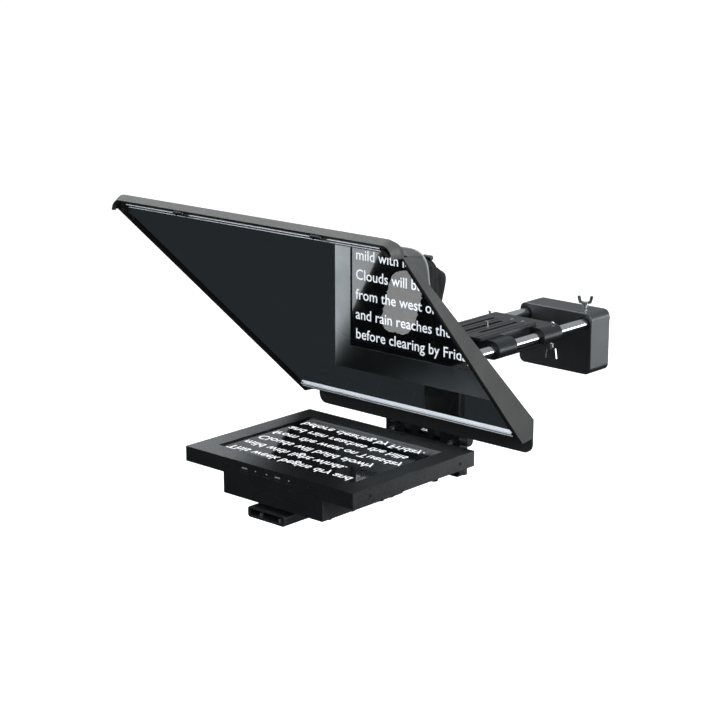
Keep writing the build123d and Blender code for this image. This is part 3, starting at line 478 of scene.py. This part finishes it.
def lens_sock():
    """A soft sleeve sewn to the ring and drawn in at its end to an elastic lens opening."""
    start = rounded_loop(ring_corners(-1.2, 1.0), RING_CORNER, STEPS, PER_SIDE)
    brow = rounded_loop(cuff_corners(-0.5, -1.5), CUFF_CORNER, STEPS, PER_SIDE)
    inner = rounded_loop(mouth_corners(), 26.0, STEPS, PER_SIDE)
    count, sleeve, end = len(start), 30, 14
    middle = Vector((0, 244.0, 168.0))
    verts = []
    for r in range(sleeve + end + 1):
        for n in range(count):
            if r <= sleeve:
                v = r / sleeve
                point = start[n].lerp(brow[n], v)
                loose = math.sin(math.pi * v) * 0.9 + v * 0.25
            else:
                v = (r - sleeve) / end
                point = brow[n].lerp(inner[n], v)
                loose = 0.25 + 0.5 * math.sin(math.pi * v)
            out = point - Vector((0, point.y, middle.z))
            out = out.normalized()
            turn = math.atan2(out.z, out.x)
            crumple = noise.noise(Vector((point.x, point.y * 1.8, point.z)) / 24.0) * 3.6
            folds = math.sin(turn * 9 + noise.noise(point / 40.0) * 3.0) * 1.5
            move = out * ((crumple + folds) * loose)
            if r > sleeve:
                gather = math.sin(turn * 30 + noise.noise(point / 20.0) * 1.5)
                move += Vector((0, gather * (0.5 + 1.2 * v), 0)) * min(1.0, v * 3)
            verts.append(point + move)
    faces = []
    for r in range(sleeve + end):
        for n in range(count):
            m = (n + 1) % count
            faces.append((r * count + n, r * count + m, (r + 1) * count + m, (r + 1) * count + n))
    piece = mesh_piece("sock_cloth", [place(*v) for v in verts], faces, MATERIALS["sock_fabric"])
    solid = piece.modifiers.new("thickness", "SOLIDIFY")
    solid.thickness = SOCK_T
    solid.offset = 0.0
    smooth = piece.modifiers.new("smooth", "SUBSURF")
    smooth.levels = 1
    smooth.render_levels = 1
    apply_modifiers(piece)
    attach(piece, "hood")
    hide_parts("lens_sock")
    edge = [place(*p) for p in verts[-count:]]
    hem = tube("sock_hem", edge, HEM_R, MATERIALS["sock_fabric"], True, 4)
    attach(hem, "hood")


fabric_shroud()
piping()
lens_sock()


# ---------------------------------------------------------------- script and marks

SCRIPT = [
    "This week begins dry and",
    "mild with light winds.",
    "Clouds will build slowly",
    "from the west on Tuesday",
    "and rain reaches the hills",
    "before clearing by Friday.",
]
LINE_Y = [44.0, 71.5, 99.0, 126.5, 154.0, 181.5]
LINE_X = -109.0
LINE_Z = -1.9
LETTER = 0.0205
# Turned over about X, so that the glass shows the lines the right way round.
FLIPPED = (math.pi, 0, 0)


def text_piece(name, words, size, location, rotation, material, body):
    curve = bpy.data.curves.new(name, "FONT")
    curve.body = words
    curve.size = size
    curve.align_x = "LEFT"
    curve.align_y = "CENTER"
    curve.offset = size * 0.006
    curve.resolution_u = 3
    piece = bpy.data.objects.new(name, curve)
    piece.location = location
    piece.rotation_euler = rotation
    scene.collection.objects.link(piece)
    curve.materials.append(material)
    bpy.context.view_layer.update()
    graph = bpy.context.evaluated_depsgraph_get()
    mesh = bpy.data.meshes.new_from_object(piece.evaluated_get(graph))
    made = bpy.data.objects.new(name, mesh)
    made.matrix_world = piece.matrix_world.copy()
    bpy.data.objects.remove(piece)
    made.name = name
    scene.collection.objects.link(made)
    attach(made, body)
    return made


for n, (words, y) in enumerate(zip(SCRIPT, LINE_Y)):
    start = place(LINE_X, y, LINE_Z)
    line = text_piece(f"script_line_{n}", words, LETTER, start, FLIPPED, SCRIPT_LIGHT, "monitor")


def mark(name, x, z, wide, high):
    """A small painted mark over a button, with rounded ends."""
    verts, steps = [], 10
    radius = high / 2
    for side in (1, -1):
        for k in range(steps + 1):
            angle = -math.pi / 2 + math.pi * k / steps
            cx = side * (wide / 2 - radius)
            over = x + cx + side * radius * math.cos(angle)
            verts.append(place(over, -0.06, z + side * radius * math.sin(angle)))
    piece = mesh_piece(name, verts, [tuple(range(len(verts)))], MARK_PAINT, False)
    solid = piece.modifiers.new("paint", "SOLIDIFY")
    solid.thickness = 0.00006
    apply_modifiers(piece)
    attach(piece, "monitor")
    return piece


MARKS = [
    ("mark_power", -38.0, 10.0),
    ("mark_menu", -18.6, 2.4),
    ("mark_minus", 0.6, 2.4),
    ("mark_plus", 19.5, 9.0),
    ("mark_source", 39.0, 2.4),
]
MARK_Z = -7.4
MARK_HIGH = 1.8
for name, x, wide in MARKS:
    mark(name, x, MARK_Z, wide, MARK_HIGH)


# ---------------------------------------------------------------- stage, light, camera


FLOOR_DROP = 0.34
FLOOR_HALF = 60


def stage_floor():
    """A plain pale floor, lit a little by itself so that it stays pale to the horizon."""
    low = cad_box[0].z - FLOOR_DROP
    mat = coated("floor_paint", (0.55, 0.55, 0.55), 0.95, 60.0, 0.0001, 0.01)
    shader = mat.node_tree.nodes["Principled BSDF"]
    shader.inputs["Emission Color"].default_value = (1.0, 1.0, 1.0, 1.0)
    shader.inputs["Emission Strength"].default_value = 0.84
    far = FLOOR_HALF
    verts = [Vector((x, y, low)) for x, y in ((-far, -far), (far, -far), (far, far), (-far, far))]
    floor = mesh_piece("floor", verts, [(0, 1, 2, 3)], mat, False)
    floor.visible_glossy = False
    floor.visible_diffuse = False


def area_light(name, location, target, size, power):
    light = bpy.data.lights.new(name, "AREA")
    light.shape = "RECTANGLE"
    light.size, light.size_y = size
    light.energy = power
    lamp = bpy.data.objects.new(name, light)
    lamp.location = location
    lamp.rotation_euler = (Vector(target) - Vector(location)).to_track_quat("-Z", "Y").to_euler()
    scene.collection.objects.link(lamp)


def studio_world():
    """White for the camera; for everything else a soft sky over a dark ground."""
    world = bpy.data.worlds.new("studio")
    scene.world = world
    world.use_nodes = True
    tree = world.node_tree
    tree.nodes.clear()
    coord = node(tree, "ShaderNodeTexCoord")
    split = node(tree, "ShaderNodeSeparateXYZ")
    tree.links.new(coord.outputs["Generated"], split.inputs[0])
    sky = node(tree, "ShaderNodeValToRGB")
    sky.color_ramp.elements[0].position = 0.46
    sky.color_ramp.elements[0].color = (0.030, 0.034, 0.037, 1)
    sky.color_ramp.elements[1].position = 0.62
    sky.color_ramp.elements[1].color = (0.42, 0.44, 0.46, 1)
    shifted = node(tree, "ShaderNodeMapRange")
    shifted.inputs["From Min"].default_value = -1.0
    tree.links.new(split.outputs["Z"], shifted.inputs["Value"])
    tree.links.new(shifted.outputs["Result"], sky.inputs["Fac"])
    soft = node(tree, "ShaderNodeBackground", Strength=0.8)
    tree.links.new(sky.outputs["Color"], soft.inputs["Color"])
    white = node(tree, "ShaderNodeBackground", Strength=1.0)
    white.inputs["Color"].default_value = (1, 1, 1, 1)
    path = node(tree, "ShaderNodeLightPath")
    pick = node(tree, "ShaderNodeMixShader")
    out = node(tree, "ShaderNodeOutputWorld")
    tree.links.new(path.outputs["Is Camera Ray"], pick.inputs[0])
    tree.links.new(soft.outputs[0], pick.inputs[1])
    tree.links.new(white.outputs[0], pick.inputs[2])
    tree.links.new(pick.outputs[0], out.inputs["Surface"])


stage_floor()
studio_world()
area_light("key_right", (2.6, -0.4, 1.5), (0.1, -0.2, 0.0), (1.6, 1.6), 84.0)
area_light("top_soft", (-0.2, 0.3, 2.6), (0.0, -0.1, 0.0), (2.2, 2.2), 27.0)
area_light("front_left", (-1.6, -2.6, 0.9), (0.0, -0.3, 0.0), (1.6, 1.2), 12.0)
area_light("rear_right_low", (1.9, 2.2, -0.2), (0.1, 0.0, -0.05), (1.3, 1.0), 16.0)
area_light("left_high", (-1.9, 0.35, 1.75), (-0.13, -0.35, -0.07), (1.7, 1.5), 30.0)

camera_data = bpy.data.cameras.new("camera")
camera_data.lens = 95.84
camera_data.sensor_width = 36.0
camera = bpy.data.objects.new("camera", camera_data)
camera.location = (1.5992, -2.0583, 0.6526)
target = Vector((-0.0038, -0.2770, 0.0301))
camera.rotation_euler = (target - camera.location).to_track_quat("-Z", "Y").to_euler()
scene.collection.objects.link(camera)
scene.camera = camera

scene.view_settings.view_transform = "Standard"
